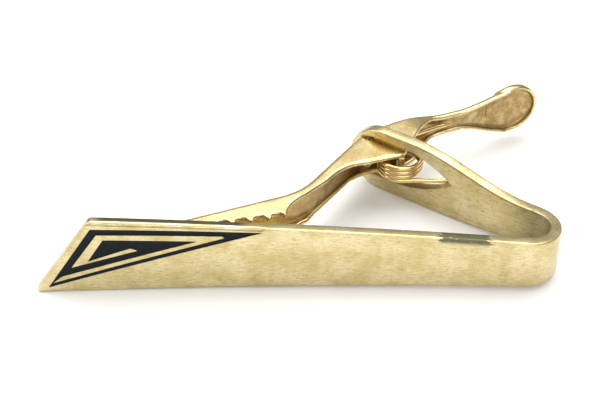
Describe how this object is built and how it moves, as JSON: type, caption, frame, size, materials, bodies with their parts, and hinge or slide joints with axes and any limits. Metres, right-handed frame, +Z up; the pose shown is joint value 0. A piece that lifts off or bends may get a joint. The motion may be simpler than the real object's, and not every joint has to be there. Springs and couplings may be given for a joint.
{
  "type": "sprung tie clip",
  "caption": "Tie clip: tapered brass bar bent back into an eye, with a sprung toothed jaw lever and a black enamel triangle on its slanted end.",
  "frame": {"origin": "centre of the bounding box, on the surface that the clip's lower edge stands on", "axes": "+X along the front bar from its slanted end to the bend, +Y from the front bar towards the lever, +Z up across the width of the strip"},
  "size_m": [0.0578, 0.0282, 0.0102],
  "materials": {
    "gilt_brass": "fine-brushed gold plating, worn to grey along the top edge",
    "lever_brass": "polished gold plating, lightly pitted",
    "spring_wire": "polished gold-plated wire",
    "black_enamel": "glossy black enamel with a slight hollow"
  },
  "bodies": {
    "clip": {"clip_body": "gilt_brass", "enamel_fill": "black_enamel"},
    "lever": {"jaw_lever": "lever_brass", "torsion_spring": "spring_wire"}
  },
  "joints": [
    {"name": "jaw_hinge", "type": "hinge", "parent": "clip", "child": "lever", "pos_m": [0.00714, 0.00383, 0.00475], "axis": [0, 0, 1], "range_deg": [-25, 0], "stiffness_Nm_per_rad": 0.02, "springref_deg": 34.38, "deforming": ["torsion_spring"]}
  ]
}
